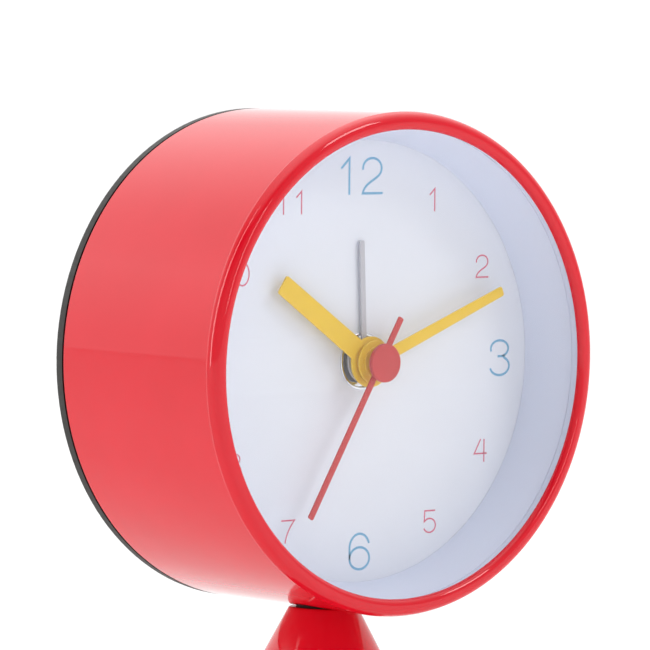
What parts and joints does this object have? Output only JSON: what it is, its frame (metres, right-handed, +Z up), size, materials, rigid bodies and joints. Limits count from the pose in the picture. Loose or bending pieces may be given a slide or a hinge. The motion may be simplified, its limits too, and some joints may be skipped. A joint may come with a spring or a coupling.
{
  "type": "table alarm clock",
  "caption": "Round alarm clock on a cone foot, with a lacquered drum, white dial, colour hands, and a geared quartz alarm movement inside.",
  "frame": {"origin": "centre of the foot's underside, on the table", "axes": "+Z up, the dial faces -Y, +X to the right of a person who faces the dial"},
  "size_m": [0.0904, 0.046, 0.1222],
  "materials": {
    "red_lacquer": "glossy baked lacquer",
    "clear_lens": "clear, polished",
    "white_ring": "satin",
    "dial_print": "matt printed",
    "white_plastic": "moulded",
    "black_plastic": "fine moulded texture",
    "yellow_paint": "satin paint",
    "red_paint": "satin paint",
    "alarm_silver": "satin",
    "chrome_trim": "polished",
    "steel": "zinc plated",
    "iron": "as cast",
    "rubber": "matt",
    "battery_wrap": "printed sleeve",
    "brass": "stamped",
    "copper_wire": "enamelled",
    "gear_plastic": "moulded",
    "board_green": "solder mask",
    "resin_black": "cast",
    "magnet": "sintered",
    "lead_red": "insulation",
    "lead_black": "insulation",
    "switch_red": "moulded"
  },
  "bodies": {
    "root": {"case_shell": "red_lacquer", "lens": "clear_lens", "dial_ring": "white_ring", "dial": "dial_print", "inner_frame": "white_plastic", "back_cover": "black_plastic", "back_cover_screws": "steel", "foot_cone": "red_lacquer", "foot_washer": "rubber", "foot_saddle": "steel", "foot_bolt": "steel", "foot_weight": "iron", "foot_pad": "rubber", "battery": "battery_wrap", "battery_plate": "steel", "battery_spring": "steel", "positive_lead": "lead_red", "negative_lead": "lead_black", "movement_front": "white_plastic", "middle_plate": "white_plastic", "train_bridge": "white_plastic", "movement_back": "white_plastic", "movement_screws": "steel", "mounting_bush": "chrome_trim", "circuit_board": "board_green", "chip_cover": "resin_black", "quartz_crystal": "steel", "coil_bobbin": "white_plastic", "coil_winding": "copper_wire", "stator": "steel", "buzzer": "resin_black", "alarm_contact": "brass", "switch_contact": "brass"},
    "minute": {"minute_hand": "yellow_paint", "cannon_pinion": "brass", "centre_wheel": "brass"},
    "hour": {"hour_hand": "yellow_paint", "hour_wheel": "gear_plastic"},
    "second": {"second_hand": "red_paint", "second_cap": "red_paint", "seconds_wheel": "gear_plastic"},
    "third": {"third_wheel": "gear_plastic"},
    "fifth": {"fifth_wheel": "gear_plastic"},
    "rotor": {"rotor_pinion": "gear_plastic", "rotor_magnet": "magnet"},
    "motion_wheel": {"minute_wheel": "gear_plastic"},
    "time_set": {"time_set_stem": "gear_plastic", "time_set_knob": "black_plastic"},
    "alarm": {"alarm_hand": "alarm_silver", "alarm_wheel": "gear_plastic"},
    "alarm_set": {"alarm_set_stem": "gear_plastic", "alarm_set_knob": "black_plastic"},
    "door": {"battery_door": "black_plastic"},
    "switch": {"alarm_switch": "switch_red"}
  },
  "joints": [
    {"name": "minute_turn", "type": "hinge", "parent": "root", "child": "minute", "pos_m": [0, 0, 0.077], "axis": [0, 1, 0], "continuous": true},
    {"name": "hour_turn", "type": "hinge", "parent": "root", "child": "hour", "pos_m": [0, 0, 0.077], "axis": [0, 1, 0], "continuous": true},
    {"name": "second_turn", "type": "hinge", "parent": "root", "child": "second", "pos_m": [0, 0, 0.077], "axis": [0, 1, 0], "continuous": true},
    {"name": "third_turn", "type": "hinge", "parent": "root", "child": "third", "pos_m": [0.0068, 0, 0.077], "axis": [0, 1, 0], "continuous": true},
    {"name": "fifth_turn", "type": "hinge", "parent": "root", "child": "fifth", "pos_m": [-0.007, 0, 0.077], "axis": [0, 1, 0], "continuous": true},
    {"name": "rotor_turn", "type": "hinge", "parent": "root", "child": "rotor", "pos_m": [-0.013, 0, 0.077], "axis": [0, 1, 0], "continuous": true},
    {"name": "motion_wheel_turn", "type": "hinge", "parent": "root", "child": "motion_wheel", "pos_m": [-0.00712, 0, 0.07806], "axis": [0, 1, 0], "continuous": true},
    {"name": "time_set_turn", "type": "hinge", "parent": "root", "child": "time_set", "pos_m": [-0.00892, 0, 0.08503], "axis": [0, 1, 0], "continuous": true},
    {"name": "alarm_set_turn", "type": "hinge", "parent": "root", "child": "alarm_set", "pos_m": [0.00892, 0, 0.08503], "axis": [0, 1, 0], "continuous": true},
    {"name": "alarm_turn", "type": "hinge", "parent": "root", "child": "alarm", "pos_m": [0, 0, 0.077], "axis": [0, 1, 0], "continuous": true},
    {"name": "door_pull", "type": "slide", "parent": "root", "child": "door", "axis": [0, 1, 0], "range_m": [0, 0.015]},
    {"name": "switch_slide", "type": "slide", "parent": "root", "child": "switch", "axis": [0, 0, 1], "range_m": [0, 0.004]}
  ],
  "couplings": [
    {"joint": "hour_turn", "follows": "minute_turn", "ratio": 0.083333},
    {"joint": "motion_wheel_turn", "follows": "minute_turn", "ratio": -0.33333},
    {"joint": "time_set_turn", "follows": "minute_turn", "ratio": 1},
    {"joint": "third_turn", "follows": "minute_turn", "ratio": -8},
    {"joint": "second_turn", "follows": "minute_turn", "ratio": 60},
    {"joint": "fifth_turn", "follows": "minute_turn", "ratio": -360},
    {"joint": "rotor_turn", "follows": "minute_turn", "ratio": 1800},
    {"joint": "alarm_turn", "follows": "alarm_set_turn", "ratio": -0.42857}
  ]
}
